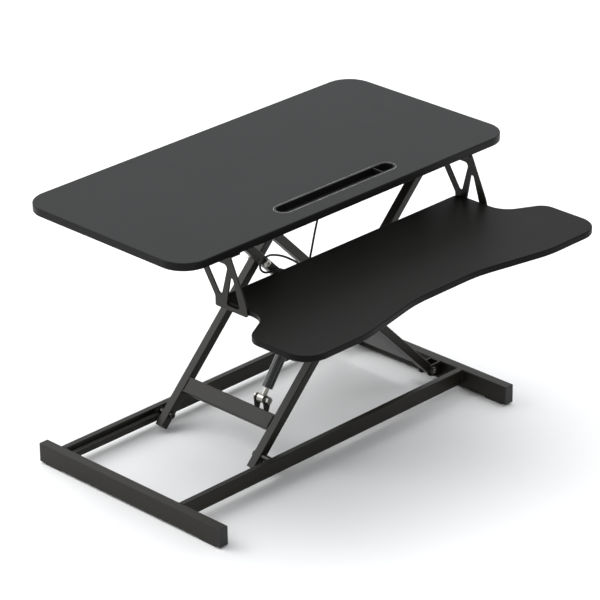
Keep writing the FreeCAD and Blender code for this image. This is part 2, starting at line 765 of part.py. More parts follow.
def hanger(side):
    """Cut sheet-metal truss with a flange under the worktop and one under the tray."""
    top = worktop_bottom
    outline = [(hanger_top_back, top, 1.0), (hanger_knee, hanger_knee_z, 12.0),
               (hanger_knee, hanger_foot, 3.0), (hanger_foot_front, hanger_foot, 4.0),
               (hanger_foot_front + 2.0, hanger_knee_z, 60.0), (hanger_top_front, top, 1.0)]
    upper_hole = [(hanger_top_back - 25.0, top - 16.0, 7.0),
                  (hanger_knee - 14.0, tray_top + 3.0, 5.0),
                  (hanger_top_front + 6.0, top - 16.0, 7.0)]
    lower_hole = [(hanger_top_front - 1.5, top - 24.0, 4.0),
                  (hanger_top_front + 11.0, tray_bottom + 5.0, 4.0),
                  (hanger_foot_front + 17.0, tray_bottom + 5.0, 5.0)]
    inner, outer = tray_neck_half, tray_neck_half + hanger_sheet
    plate = plate_x(outline, inner, outer)
    for hole in (upper_hole, lower_hole):
        plate = plate.cut(plate_x(hole, inner - 1, outer + 1))
    top_flange = block(inner - hanger_flange, outer, hanger_top_front + 1.5,
                       hanger_top_back - 3.0, top - hanger_sheet, top)
    foot_flange = block(inner - hanger_flange, outer, hanger_foot_front + 5.0, hanger_knee - 4.0,
                        hanger_foot, tray_bottom)
    shape = fused([plate, top_flange, foot_flange])
    for x, y in hanger_screws_top:
        shape = shape.cut(rod_z(x, y, top - hanger_sheet - 1, top + 1, 2.3))
    for x, y in hanger_screws_foot:
        shape = shape.cut(rod_z(x, y, hanger_foot - 1, tray_bottom + 1, 2.3))
    if side < 0:
        shape = shape.mirror(V(0, 0, 0), V(1, 0, 0))
    return shape


hanger_screw_x = tray_neck_half - hanger_flange / 2
hanger_screws_top = [(hanger_screw_x, hanger_top_back - step) for step in (17.0, 44.0, 71.0)]
hanger_screws_foot = [(hanger_screw_x, hanger_knee - step) for step in (16.0, 38.0, 60.0)]
parts["hanger_left"] = hanger(-1)
parts["hanger_right"] = hanger(1)


# ---- screws into the two boards
def into_board(x, y, flange_face, board_face, depth):
    """Screw with its head under flange_face and its point inside the board."""
    return screw_z(x, y, flange_face, board_face - flange_face + depth)


screw_depth = 9.0
hinge_screw_points = []
for arm_y in outer_arm_ys:
    for outward in (-1, 1):
        face = arm_y - ear_clearance if outward < 0 else arm_y + arm_width + ear_clearance
        far = face + outward * ear_sheet
        for dx in (-12.0, 12.0):
            hinge_screw_points.append((hinge_x + dx, far + outward * 9.5))

# ---- gas spring between the outer frame's lower bar and the inner frame
outer_along = V(math.cos(rise), 0, math.sin(rise))
outer_normal = V(-math.sin(rise), 0, math.cos(rise))
spring_foot = (V(roller_x, 0, base_z) + outer_along * spring_foot_s
               + outer_normal * spring_foot_n)
inner_along = V(-math.cos(rise), 0, math.sin(rise))
inner_under = V(-math.sin(rise), 0, -math.cos(rise))
spring_head = V(centre_x, 0, centre_z) + inner_along * spring_head_s + inner_under * spring_head_n
spring_length = spring_foot.distanceToPoint(spring_head)
spring_angle = math.degrees(math.atan2(spring_head.z - spring_foot.z,
                                       spring_head.x - spring_foot.x))


def lower_clevis():
    """Two steel ears on the outer frame's lower bar, around the spring's eye."""
    bar_edge = outer_bar_start + bar_width
    pin_s, pin_n = spring_foot_s, spring_foot_n
    outline = [(bar_edge, -half_height + 3.0, 1.0), (pin_s + 3.0, pin_n - 9.0, 6.0),
               (pin_s + 9.0, pin_n + 2.0, 7.0), (pin_s - 4.0, pin_n + 9.0, 6.0),
               (bar_edge, half_height - 0.5, 2.0)]
    ears = []
    for y in (spring_y - clevis_gap / 2 - ear_sheet, spring_y + clevis_gap / 2):
        ear = plate_y(outline, y, y + ear_sheet)
        ears.append(ear.cut(rod_y(pin_s, pin_n, y - 1, y + ear_sheet + 1,
                                  spring_pin_radius + hole_clearance)))
    return together(ears)


parts["spring_lower_clevis"] = on_outer(lower_clevis())
pin_near = spring_y - clevis_gap / 2 - ear_sheet
pin_far = spring_y + clevis_gap / 2 + ear_sheet
lower_pin = bolt_y(spring_foot.x, spring_foot.z, pin_far, pin_near - 6.5,
                   radius=spring_pin_radius)
lower_pin_nut = hex_y(spring_foot.x, spring_foot.z, pin_near - 5.5, pin_near, 12.0)
lower_pin_nut = lower_pin_nut.cut(
    rod_y(spring_foot.x, spring_foot.z, pin_near - 7, pin_near + 1, spring_pin_radius))
parts["spring_lower_fasteners"] = together([lower_pin, lower_pin_nut])


def spring_eye():
    """Steel eye and neck that close the cylinder's lower end."""
    half = clevis_gap / 2 - 3.0
    eye = rod_y(0, 0, spring_y - half, spring_y + half, 8.0)
    neck = rod_x(spring_y, 0, 3.0, cylinder_start, 5.0)
    stud = rod_x(spring_y, 0, cylinder_start, cylinder_start + 6.0,
                 cylinder_radius - cylinder_wall - 0.05)
    shape = fused([eye, neck, stud])
    return shape.cut(rod_y(0, 0, spring_y - half - 1, spring_y + half + 1,
                           spring_pin_radius + hole_clearance))


def cylinder_shell():
    """Pressure tube, open at the lower end for the eye and bored for the guide above."""
    outer = rod_x(spring_y, 0, cylinder_start, cylinder_start + cylinder_length,
                  cylinder_radius)
    rims = [e for e in outer.Edges if len(e.Vertexes) == 1]
    outer = outer.makeFillet(1.0, rims)
    return outer.cut(rod_x(spring_y, 0, cylinder_start - 1, cylinder_start + cylinder_length + 1,
                           cylinder_radius - cylinder_wall))


guide_length = 9.0


def rod_guide():
    end = cylinder_start + cylinder_length
    guide = rod_x(spring_y, 0, end - guide_length, end,
                  cylinder_radius - cylinder_wall - 0.05)
    collar = rod_x(spring_y, 0, end, end + 2.0, cylinder_radius - 2.0)
    shape = fused([guide, collar])
    return shape.cut(rod_x(spring_y, 0, end - guide_length - 1, end + 3.0,
                           rod_radius + hole_clearance))


head_back = 14.0               # length of the head beyond its pivot
head_start = spring_length - head_length + head_back
piston_start = cylinder_start + 70.0


def spring_rod():
    return rod_x(spring_y, 0, piston_start + 8.0, head_start + 8.0, rod_radius)


def piston():
    disc = rod_x(spring_y, 0, piston_start, piston_start + 8.0,
                 cylinder_radius - cylinder_wall - hole_clearance)
    groove = rod_x(spring_y, 0, piston_start + 3.0, piston_start + 5.0,
                   cylinder_radius).cut(rod_x(spring_y, 0, piston_start + 2.0,
                                              piston_start + 6.0, cylinder_radius - 2.6))
    return disc.cut(groove)


def release_head():
    """Head block on the rod, slotted for the release rocker and dimpled for the pivots."""
    half = head_width / 2
    end = spring_length + head_back
    body = block(head_start, end, spring_y - half, spring_y + half, -10.0, 10.0)
    edges = [e for e in body.Edges if e.BoundBox.YLength > head_width - 0.1]
    body = body.makeFillet(5.0, edges)
    slot = block(head_start + 16.0, end + 1, spring_y - 3.0, spring_y + 3.0, -1.5, 11.0)
    rod_bore = rod_x(spring_y, 0, head_start - 1, head_start + 8.0, rod_radius)
    pin_bore = rod_x(spring_y, 0, head_start + 8.0, head_start + 17.0, 1.6)
    dimples = [rod_y(spring_length, 0, y, y + 1.0, spring_pin_radius + 0.6)
               for y in (spring_y - half - 0.5, spring_y + half - 0.5)]
    rocker_bore = rod_y(rocker_x, rocker_z, spring_y - half - 1, spring_y + half + 1,
                        rocker_pin_radius)
    shape = body.cut(slot)
    for tool in [rod_bore, pin_bore, rocker_bore] + dimples:
        shape = shape.cut(tool)
    return shape


rocker_x = head_start + 21.0
rocker_z = 5.5
rocker_pin_radius = 1.5


def release_rocker():
    """Short lever in the head; the cable pulls its upper end and it presses the valve pin."""
    arm_up = block(rocker_x - 3.5, rocker_x + 3.5, spring_y - 2.4, spring_y + 2.4, 0.5, 16.0)
    pivot_boss = rod_y(rocker_x, rocker_z, spring_y - 2.4, spring_y + 2.4, 4.5)
    shape = fused([arm_up, pivot_boss])
    top = [e for e in shape.Edges if e.BoundBox.ZMin > 15.9 and e.BoundBox.YLength > 4]
    shape = shape.makeFillet(2.5, top)
    return shape.cut(rod_y(rocker_x, rocker_z, spring_y - 4, spring_y + 4,
                           rocker_pin_radius + hole_clearance))


def rocker_pin():
    half = head_width / 2
    return rod_y(rocker_x, rocker_z, spring_y - half, spring_y + half, rocker_pin_radius)


def valve_pin():
    return rod_x(spring_y, 0, head_start + 8.0, head_start + 16.6, 1.55)


parts["spring_eye"] = on_spring(spring_eye())
parts["spring_cylinder"] = on_spring(cylinder_shell())
parts["spring_rod_guide"] = on_spring(rod_guide())
parts["spring_rod"] = on_spring(spring_rod())
parts["spring_piston"] = on_spring(piston())
parts["release_head"] = on_spring(release_head())
parts["release_rocker"] = on_spring(release_rocker())
parts["release_rocker_pin"] = on_spring(rocker_pin())
parts["release_valve_pin"] = on_spring(valve_pin())

# ---- lever plates that carry the spring's upper end on the inner frame
head_s = half_arm + spring_head_s
head_n = spring_head_n
pivot_gap = head_width / 2 + 0.8


def spring_lever_plates():
    """Two plates welded on the inner frame's middle bar, reaching to the spring head."""
    bar_end = mid_bar_start + bar_width
    outline = [(bar_end, half_height - 1.0, 2.0), (bar_end, -half_height + 1.0, 2.0),
               (head_s + 4.0, head_n - 13.0, 10.0), (head_s + 13.0, head_n, 8.0),
               (head_s + 4.0, head_n + 13.0, 10.0)]
    plates = []
    for y in (spring_y - pivot_gap - ear_sheet, spring_y + pivot_gap):
        plate = plate_y(outline, y, y + ear_sheet)
        plates.append(plate.cut(rod_y(head_s, head_n, y - 1, y + ear_sheet + 1,
                                      spring_pin_radius + hole_clearance)))
    return together(plates)


def spring_pivots():
    """Two short shoulder screws, one through each lever plate."""
    screws = []
    for way in (-1, 1):
        inside = spring_y + way * (pivot_gap - 0.3)
        outside = spring_y + way * (pivot_gap + ear_sheet)
        screws.append(bolt_y(head_s, head_n, outside, inside, radius=spring_pin_radius))
    return together(screws)


parts["spring_lever_plates"] = on_inner(spring_lever_plates())
parts["spring_upper_pivots"] = on_inner(spring_pivots())

# ---- hand lever under the worktop's right end
lever_y = worktop_front + lever_setback
lever_pin_x = worktop_width / 2 - lever_inset
lever_z = worktop_bottom - 15.0
lever_half = lever_width / 2
housing_left = lever_pin_x - 20.0
housing_right = lever_pin_x + 20.0
cable_exit_z = lever_z - 5.0
lever_screw_points = [(lever_pin_x + dx, lever_y) for dx in (-10.0, 12.0)]


def lever_housing():
    """Folded bracket that holds the hand lever and stops the cable's sheath."""
    side = lever_half + 0.5
    base = block(housing_left, housing_right, lever_y - side - 2.0, lever_y + side + 2.0,
                 worktop_bottom - 2.0, worktop_bottom)
    outline = [(housing_left, worktop_bottom, 0.5), (housing_right, worktop_bottom, 0.5),
               (lever_pin_x + 8.0, lever_z - 8.0, 6.0), (housing_left, lever_z - 8.0, 4.0)]
    shapes = [base]
    for y in (lever_y - side - 2.0, lever_y + side):
        shapes.append(plate_y(outline, y, y + 2.0))
    shapes.append(block(housing_left, housing_left + 2.0, lever_y - side, lever_y + side,
                        lever_z - 8.0, worktop_bottom - 2.0))
    shape = fused(shapes)
    shape = shape.cut(rod_y(lever_pin_x, lever_z, lever_y - side - 3, lever_y + side + 3,
                            lever_pin_radius + hole_clearance))
    shape = shape.cut(rod_x(lever_y, cable_exit_z, housing_left - 1, housing_left + 3, 1.2))
    for x, y in lever_screw_points:
        shape = shape.cut(rod_z(x, y, worktop_bottom - 3.0, worktop_bottom + 1, 2.3))
    return shape


def hand_lever():
    """Moulded paddle: a finger plate, a hub on the pin and a short arm for the cable."""
    plate = block(lever_pin_x - 2.0, worktop_width / 2 - 9.0, lever_y - lever_half + 0.3,
                  lever_y + lever_half - 0.3, lever_z - 6.0, lever_z - 1.5)
    ends = [e for e in plate.Edges if e.BoundBox.ZLength > 4 and
            e.BoundBox.XMin > lever_pin_x + 10]
    plate = plate.makeFillet(10.0, ends)
    hub = rod_y(lever_pin_x, lever_z, lever_y - lever_half + 0.3, lever_y + lever_half - 0.3,
                6.0)
    cable_arm = block(lever_pin_x - 3.0, lever_pin_x + 3.0, lever_y - 4.0, lever_y + 4.0,
                      lever_z - 9.0, lever_z)
    shape = fused([plate, hub, cable_arm])
    return shape.cut(rod_y(lever_pin_x, lever_z, lever_y - lever_half - 1,
                           lever_y + lever_half + 1, lever_pin_radius + hole_clearance))


def lever_pin():
    side = lever_half + 2.5
    shank = rod_y(lever_pin_x, lever_z, lever_y - side - 1.5, lever_y + side, lever_pin_radius)
    head = rod_y(lever_pin_x, lever_z, lever_y + side, lever_y + side + 2.0, 4.5)
    return fused([shank, head])


parts["lever_housing"] = lever_housing()
parts["hand_lever"] = hand_lever()
parts["lever_pin"] = lever_pin()

board_screws = [into_board(side * x, y, hanger_foot, tray_bottom, screw_depth)
                for side in (-1, 1) for x, y in hanger_screws_foot]
board_screws += [into_board(side * x, y, worktop_bottom - hanger_sheet, worktop_bottom,
                            screw_depth)
                 for side in (-1, 1) for x, y in hanger_screws_top]
board_screws += [into_board(x, y, worktop_bottom - ear_sheet, worktop_bottom, screw_depth)
                 for x, y in hinge_screw_points]
board_screws += [into_board(x, y, worktop_bottom - 2.0, worktop_bottom, screw_depth)
                 for x, y in lever_screw_points]
parts["board_screws"] = together(board_screws)

# ---- release cable, in one length for each frame that holds it
joint_gap = 0.3
cable_z = worktop_bottom - cable_radius - 0.4
top_swap_y = 30.0              # where the cable passes along the worktop hinge's axis
centre_swap_y = 70.0           # where it passes along the centre pivots' axis
clip_wall = 1.4
clip_length = 3.0


bar_cable_n = half_height + cable_radius + 0.7


def outer_point(s, y, n):
    return V(roller_x, y, base_z) + outer_along * s + outer_normal * n


def centre_at(dx, y, dz):
    return V(centre_x + dx, y, centre_z + dz)


worktop_route = [
    V(housing_left, lever_y, cable_exit_z),
    V(housing_left - 10, lever_y, cable_exit_z),
    V(hinge_x - 21.5, lever_y + 5.2, cable_exit_z + 1.5),
    V(hinge_x - 27, lever_y + 14.5, cable_exit_z + 4.5),
    V(hinge_x - 28.5, lever_y + 29, cable_exit_z + 9.5),
    V(hinge_x - 40, lever_y + 46, cable_z - 1.2),
    V(hinge_x - 58, lever_y + 64, cable_z),
    V(hinge_x - 70, lever_y + 84, cable_z),
    V(hinge_x - 66, lever_y + 105, cable_z),
    V(hinge_x - 50, lever_y + 119, cable_z - 1),
    V(hinge_x - 31, lever_y + 123, top_z + 3.5),
    V(hinge_x - 15, lever_y + 128, top_z + 0.7),
    V(hinge_x - 5, lever_y + 137, top_z),
    V(hinge_x, top_swap_y - 13, top_z),
    V(hinge_x, top_swap_y, top_z),
]
outer_route = [
    V(hinge_x, top_swap_y + joint_gap, top_z),
    V(hinge_x, top_swap_y + 18, top_z),
    outer_point(arm_length - 11, top_swap_y + 37, 3.5),
    outer_point(arm_length - 32, top_swap_y + 50, 8.5),
    outer_point(arm_length - 58, top_swap_y + 56, bar_cable_n),
    outer_point(arm_length - 92, top_swap_y + 59, bar_cable_n),
    outer_point(arm_length - 130, top_swap_y + 59, 8.5),
    outer_point(half_arm + 156, top_swap_y + 54, 6),
    outer_point(half_arm + 116, top_swap_y + 44, 5),
    outer_point(half_arm + 80, top_swap_y + 30, 5),
    outer_point(half_arm + 50, top_swap_y + 17, 5),
    outer_point(half_arm + 28, top_swap_y + 9, 4),
    outer_point(half_arm + 10, top_swap_y + 11, 1.5),
    outer_point(half_arm, top_swap_y + 25, 0),
    outer_point(half_arm, centre_swap_y - joint_gap, 0),
]
plate_face = spring_y + pivot_gap + ear_sheet
inner_route = [
    centre_at(0, centre_swap_y, 0),
    centre_at(0, centre_swap_y + 17, 0),
    centre_at(-11, centre_swap_y + 31, -4),
    centre_at(-29, centre_swap_y + 36, -4),
    centre_at(-42, centre_swap_y + 35, 9),
    centre_at(-45, centre_swap_y + 29, 28),
    centre_at(-38, centre_swap_y + 15, 42),
    centre_at(-29, centre_swap_y - 8, 45),
    centre_at(-19, centre_swap_y - 33, 38),
    centre_at(-13.3, centre_swap_y - 60, 24.3),
    centre_at(-13.3, plate_face, 24.3),
]
parts["cable_worktop"] = cord_tube("cable_worktop", worktop_route, cable_radius)
parts["cable_outer"] = cord_tube("cable_outer", outer_route, cable_radius)
parts["cable_inner"] = cord_tube("cable_inner", inner_route, cable_radius)


def saddle(start, end, towards, surface):
    """Clip over the middle of one run, with its foot on a surface that far away."""
    along = end.sub(start).normalize()
    side = towards.cross(along).normalize()
    half = cable_radius + clip_wall
    body = block(-clip_length / 2, clip_length / 2, -half, half, 0, surface)
    foot = block(-clip_length / 2, clip_length / 2, -half - 6.0, half + 6.0,
                 surface - clip_wall, surface)
    bow = rod_x(0, 0, -clip_length / 2, clip_length / 2, half)
    clip = fused([body.fuse(bow).common(block(-9, 9, -20, 20, -half, surface)), foot])
    clip = clip.cut(rod_x(0, 0, -clip_length, clip_length, cable_radius + hole_clearance))
    turn = FreeCAD.Rotation(along, side, along.cross(side), "XYZ")
    clip.Placement = FreeCAD.Placement((start + end) * 0.5, turn)
    return clip


parts["cable_clips_worktop"] = together([
    saddle(worktop_route[k], worktop_route[k + 1], V(0, 0, 1), worktop_bottom - cable_z)
    for k in (6, 7)])
parts["cable_clip_outer"] = saddle(outer_route[4], outer_route[5], outer_normal * -1,
                                   bar_cable_n - half_height)

# ---- write each piece, with the origin moved to the middle of the footprint
os.makedirs("parts", exist_ok=True)
for name, shape in parts.items():
    moved = shape.copy()
    moved.translate(V(0, depth_shift, 0))
    moved.exportStep("parts/" + name + ".step")
print("pieces", len(parts), "depth_shift", depth_shift)
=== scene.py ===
"""Looks of a standing desk converter: coatings, laminate, plastic and plated steel.

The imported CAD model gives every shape, size and place.  This script adds finishes, weld
beads, bolt threads, cable ferrules and the pull wire, then the floor, lights and camera.
"""
import bpy
import bmesh
import json
import math
from mathutils import Euler, Matrix, Vector


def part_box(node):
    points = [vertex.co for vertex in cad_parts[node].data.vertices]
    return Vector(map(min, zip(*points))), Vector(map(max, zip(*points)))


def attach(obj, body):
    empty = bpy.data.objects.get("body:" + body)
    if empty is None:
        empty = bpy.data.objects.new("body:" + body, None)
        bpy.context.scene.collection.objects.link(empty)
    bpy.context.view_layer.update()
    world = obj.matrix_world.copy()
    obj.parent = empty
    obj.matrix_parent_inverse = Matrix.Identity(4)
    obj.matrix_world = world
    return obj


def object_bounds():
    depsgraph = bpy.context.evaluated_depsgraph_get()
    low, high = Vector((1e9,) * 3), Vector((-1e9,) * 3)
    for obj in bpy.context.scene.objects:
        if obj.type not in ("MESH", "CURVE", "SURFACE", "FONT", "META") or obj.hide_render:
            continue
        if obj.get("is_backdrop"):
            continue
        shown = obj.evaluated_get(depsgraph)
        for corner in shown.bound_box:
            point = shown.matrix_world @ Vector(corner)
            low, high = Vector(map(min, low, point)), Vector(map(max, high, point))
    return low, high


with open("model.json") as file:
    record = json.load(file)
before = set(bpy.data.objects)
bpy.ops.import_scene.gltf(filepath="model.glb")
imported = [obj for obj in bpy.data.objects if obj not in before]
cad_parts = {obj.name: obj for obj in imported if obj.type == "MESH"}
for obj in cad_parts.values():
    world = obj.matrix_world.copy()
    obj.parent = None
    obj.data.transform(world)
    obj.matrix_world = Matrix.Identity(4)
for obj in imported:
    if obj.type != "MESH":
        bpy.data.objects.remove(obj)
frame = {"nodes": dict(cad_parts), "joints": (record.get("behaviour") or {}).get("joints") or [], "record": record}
cad_low, cad_high = (list(corner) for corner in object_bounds())
nodes = frame["nodes"]
joints = {joint["name"]: joint for joint in frame["joints"]}
scene = bpy.context.scene


# ---- node helpers
def new_material(name, **settings):
    """Material with one Principled shader; settings are constants on the shader's sockets."""
    made = bpy.data.materials.new(name)
    made.use_nodes = True
    shader = made.node_tree.nodes["Principled BSDF"]
    for socket, value in settings.items():
        shader.inputs[socket.replace("_", " ")].default_value = value
    return made, made.node_tree, shader


def add_node(tree, kind, place=(0, 0), **settings):
    """Node of a kind at a place in the tree; settings are the node's own properties."""
    made = tree.nodes.new(kind)
    made.location = place
    for key, value in settings.items():
        setattr(made, key, value)
    return made


def new_group(name, inputs, outputs):
    """Node group with float inputs as (name, default) and float outputs by name."""
    tree = bpy.data.node_groups.new(name, "ShaderNodeTree")
    for label, default in inputs:
        made = tree.interface.new_socket(name=label, in_out="INPUT", socket_type="NodeSocketFloat")
        made.default_value = default
    for label in outputs:
        tree.interface.new_socket(name=label, in_out="OUTPUT", socket_type="NodeSocketFloat")
    source = add_node(tree, "NodeGroupInput", (-900, 0))
    result = add_node(tree, "NodeGroupOutput", (600, 0))
    return tree, source, result


def noise(tree, vector, scale, detail, roughness, place=(0, 0)):
    """Noise texture from 0 to 1; the scale is a number or a socket."""
    made = add_node(tree, "ShaderNodeTexNoise", place)
    made.inputs["Detail"].default_value = detail
    made.inputs["Roughness"].default_value = roughness
    tree.links.new(vector, made.inputs["Vector"])
    if isinstance(scale, (int, float)):
        made.inputs["Scale"].default_value = scale
    else:
        tree.links.new(scale, made.inputs["Scale"])
    return made.outputs["Fac"]


def remap(tree, value, low, high, place=(0, 0), out_low=0.0, out_high=1.0):
    """Smooth step of a value from one range to another."""
    made = add_node(tree, "ShaderNodeMapRange", place, interpolation_type="SMOOTHSTEP")
    tree.links.new(value, made.inputs["Value"])
    for label, number in (("From Min", low), ("From Max", high),
                          ("To Min", out_low), ("To Max", out_high)):
        made.inputs[label].default_value = number
    return made.outputs["Result"]


def combine(tree, operation, first, second, place=(0, 0)):
    """Arithmetic on two values; each is a number or a socket."""
    made = add_node(tree, "ShaderNodeMath", place, operation=operation)
    for socket, value in zip(made.inputs, (first, second)):
        if isinstance(value, (int, float)):
            socket.default_value = value
        else:
            tree.links.new(value, socket)
    return made.outputs["Value"]


def blend_colours(tree, factor, first, second, place=(0, 0)):
    """Mix of two colours; each is a tuple or a socket."""
    made = add_node(tree, "ShaderNodeMix", place, data_type="RGBA")
    tree.links.new(factor, made.inputs["Factor"])
    for label, colour in (("A", first), ("B", second)):
        socket = [s for s in made.inputs if s.name == label and s.type == "RGBA"][0]
        if isinstance(colour, tuple):
            socket.default_value = (*colour, 1.0)
        else:
            tree.links.new(colour, socket)
    return [s for s in made.outputs if s.type == "RGBA"][0]


def bump(tree, height, distance, place=(0, 0)):
    """Normal tilted by a height of up to a distance in metres."""
    made = add_node(tree, "ShaderNodeBump", place)
    made.inputs["Strength"].default_value = 1.0
    made.inputs["Distance"].default_value = distance
    tree.links.new(height, made.inputs["Height"])
    return made.outputs["Normal"]


# ---- shared effects
def grain_group():
    """Fine texture and broad mottling of a coated or moulded surface."""
    pit_scale = 0.34                 # pits against the fine grain
    grain_share = 0.6
    pit_share = 0.4
    tree, source, result = new_group("surface_grain", (("Grain", 900.0), ("Mottle", 9.0)),
                                     ("Height", "Mottling"))
    place = add_node(tree, "ShaderNodeTexCoord", (-900, 300)).outputs["Object"]
    fine = noise(tree, place, source.outputs["Grain"], 2.0, 0.6, (-500, 200))
    coarser = combine(tree, "MULTIPLY", source.outputs["Grain"], pit_scale, (-700, 0))
    pits = noise(tree, place, coarser, 1.0, 0.5, (-500, 0))
    height = combine(tree, "ADD",
                     combine(tree, "MULTIPLY", fine, grain_share, (-250, 200)),
                     combine(tree, "MULTIPLY", pits, pit_share, (-250, 0)), (0, 100))
    broad = noise(tree, place, source.outputs["Mottle"], 4.0, 0.6, (-500, -250))
    mottling = remap(tree, broad, 0.3, 0.7, (-200, -250))
    tree.links.new(height, result.inputs["Height"])
    tree.links.new(mottling, result.inputs["Mottling"])
    return tree


def handling_group():
    """Dust that settles on upward faces, and faint rubbed streaks along X."""
    speck_scale = 240.0
    cloud_scale = 14.0
    streak_scale = 4.0
    streak_stretch = (6.0, 90.0, 90.0)
    tree, source, result = new_group("dust_and_rubbing", (("Dust", 0.5), ("Rubbing", 0.5)),
                                     ("Dust", "Rubbing"))
    texture = add_node(tree, "ShaderNodeTexCoord", (-900, 300))
    place = texture.outputs["Object"]
    split = add_node(tree, "ShaderNodeSeparateXYZ", (-700, 300))
    tree.links.new(texture.outputs["Normal"], split.inputs["Vector"])
    upward = remap(tree, split.outputs["Z"], 0.6, 1.0, (-500, 300))
    specks = remap(tree, noise(tree, place, speck_scale, 5.0, 0.7, (-700, 0)),
                   0.55, 0.8, (-500, 0))
    clouds = noise(tree, place, cloud_scale, 3.0, 0.5, (-700, -200))
    settled = combine(tree, "MULTIPLY",
                      combine(tree, "MULTIPLY", upward, specks, (-300, 200)),
                      combine(tree, "MULTIPLY", clouds, source.outputs["Dust"], (-300, 0)),
                      (-100, 100))
    stretch = add_node(tree, "ShaderNodeMapping", (-700, -450))
    stretch.inputs["Scale"].default_value = streak_stretch
    tree.links.new(place, stretch.inputs["Vector"])
    streaks = remap(tree, noise(tree, stretch.outputs["Vector"], streak_scale, 3.0, 0.6,
                                (-500, -450)), 0.52, 0.75, (-300, -450))
    rubbing = combine(tree, "MULTIPLY", streaks, source.outputs["Rubbing"], (-100, -450))
    tree.links.new(settled, result.inputs["Dust"])
    tree.links.new(rubbing, result.inputs["Rubbing"])
    return tree


grain_effect = grain_group()
handling_effect = handling_group()
rubbed_gloss = 0.12              # roughness that a full rub takes away


def place_effect(tree, effect, place, **values):
    """Outputs of a shared effect placed in a material; values are its named inputs."""
    made = add_node(tree, "ShaderNodeGroup", place, node_tree=effect)
    for label, value in values.items():
        made.inputs[label].default_value = value
    return made.outputs


def surface(name, dark, light, rough, grain, relief, mottle=9.0, dust=0.4, rubbing=0.3,
            dust_colour=(0.32, 0.31, 0.29), spread=0.012, **settings):
    """Finish with mottled colour and roughness, grain relief, dust and rubbing."""
    made, tree, shader = new_material(name, **settings)
    texture = place_effect(tree, grain_effect, (-1100, 100), Grain=grain, Mottle=mottle)
    wear = place_effect(tree, handling_effect, (-1100, -200), Dust=dust, Rubbing=rubbing)
    base = blend_colours(tree, texture["Mottling"], dark, light, (-700, 200))
    dusty = blend_colours(tree, wear["Dust"], base, dust_colour, (-450, 200))
    tree.links.new(dusty, shader.inputs["Base Color"])
    varied = remap(tree, texture["Mottling"], 0.0, 1.0, (-700, 0), rough - spread, rough + spread)
    polish = combine(tree, "MULTIPLY", wear["Rubbing"], rubbed_gloss, (-700, -200))
    rubbed = combine(tree, "SUBTRACT", varied, polish, (-450, 0))
    tree.links.new(rubbed, shader.inputs["Roughness"])
    tree.links.new(bump(tree, texture["Height"], relief, (-450, -250)), shader.inputs["Normal"])
    return made, tree, shader


# ---- the object's finishes
def powder_coat():
    return surface("powder_coat", (0.0092, 0.0078, 0.0052), (0.0122, 0.0105, 0.0074),
                   rough=0.42, grain=1100.0, relief=0.00006, dust=0.12, rubbing=0.5,
                   Specular_IOR_Level=0.26)[0]


def board_laminate(name, dark, light, shine):
    """Black laminate on both faces and a darker, smoother plastic band round the edge."""
    edge_colour = (0.0035, 0.0035, 0.0032)
    edge_gloss = 0.03                # how much less rough the edge band is
    made, tree, shader = surface(name, dark, light, rough=0.44, grain=1500.0, relief=0.00003,
                                 mottle=5.0, dust=0.05, rubbing=0.15, Specular_IOR_Level=shine)
    texture = add_node(tree, "ShaderNodeTexCoord", (-1100, 600))
    split = add_node(tree, "ShaderNodeSeparateXYZ", (-900, 600))
    tree.links.new(texture.outputs["Normal"], split.inputs["Vector"])
    flatness = combine(tree, "ABSOLUTE", split.outputs["Z"], 0.0, (-700, 600))
    faces = remap(tree, flatness, 0.35, 0.8, (-500, 600))
    worn = shader.inputs["Base Color"].links[0].from_socket
    banded = blend_colours(tree, faces, edge_colour, worn, (-200, 500))
    tree.links.new(banded, shader.inputs["Base Color"])
    rubbed = shader.inputs["Roughness"].links[0].from_socket
    edges = combine(tree, "SUBTRACT", 1.0, faces, (-500, 420))
    smoother = combine(tree, "MULTIPLY", edges, -edge_gloss, (-300, 420))
    tree.links.new(combine(tree, "ADD", rubbed, smoother, (-100, 420)),
                   shader.inputs["Roughness"])
    return made


def worktop_laminate():
    return board_laminate("worktop_laminate", (0.0096, 0.0101, 0.0101),
                          (0.011, 0.0115, 0.0114), shine=0.13)


# Painted shade: the keyboard tray is the same laminate as the worktop, and this darker, less shiny copy stands in
# for the shade the worktop casts on it.
def shaded_tray_laminate():
    return board_laminate("shaded_tray_laminate", (0.0052, 0.005, 0.0044),
                          (0.0062, 0.006, 0.0053), shine=0.075)


def moulded_plastic():
    return surface("moulded_plastic", (0.008, 0.008, 0.008), (0.012, 0.012, 0.012),
                   rough=0.5, grain=1400.0, relief=0.00005, dust=0.3, rubbing=0.2,
                   Specular_IOR_Level=0.4)[0]


def slot_plastic():
    return surface("slot_plastic", (0.004, 0.004, 0.004), (0.006, 0.006, 0.006),
                   rough=0.45, grain=1400.0, relief=0.00004, dust=0.2, rubbing=0.2,
                   Specular_IOR_Level=0.2)[0]


def rim_highlight_paint():
    """Painted highlight on the slot rim's chamfer: a pale line, mottled with darker patches."""
    return surface("rim_highlight_paint", (0.12, 0.12, 0.115), (0.5, 0.5, 0.48),
                   rough=0.4, grain=900.0, relief=0.00002, mottle=55.0, dust=0.1,
                   spread=0.05, Specular_IOR_Level=0.4)[0]


def nylon():
    """Off-white nylon with dark grime."""
    return surface("nylon", (0.26, 0.255, 0.235), (0.34, 0.333, 0.31),
                   rough=0.42, grain=700.0, relief=0.00005, dust=0.5, rubbing=0.7,
                   dust_colour=(0.08, 0.075, 0.07))[0]


def roller_nylon():
    return surface("roller_nylon", (0.03, 0.03, 0.029), (0.042, 0.042, 0.04),
                   rough=0.4, grain=800.0, relief=0.00005, dust=0.5, rubbing=0.7)[0]


def foot_rubber():
    return surface("foot_rubber", (0.012, 0.012, 0.012), (0.018, 0.018, 0.018),
                   rough=0.78, grain=600.0, relief=0.00012, dust=0.9, rubbing=0.1)[0]


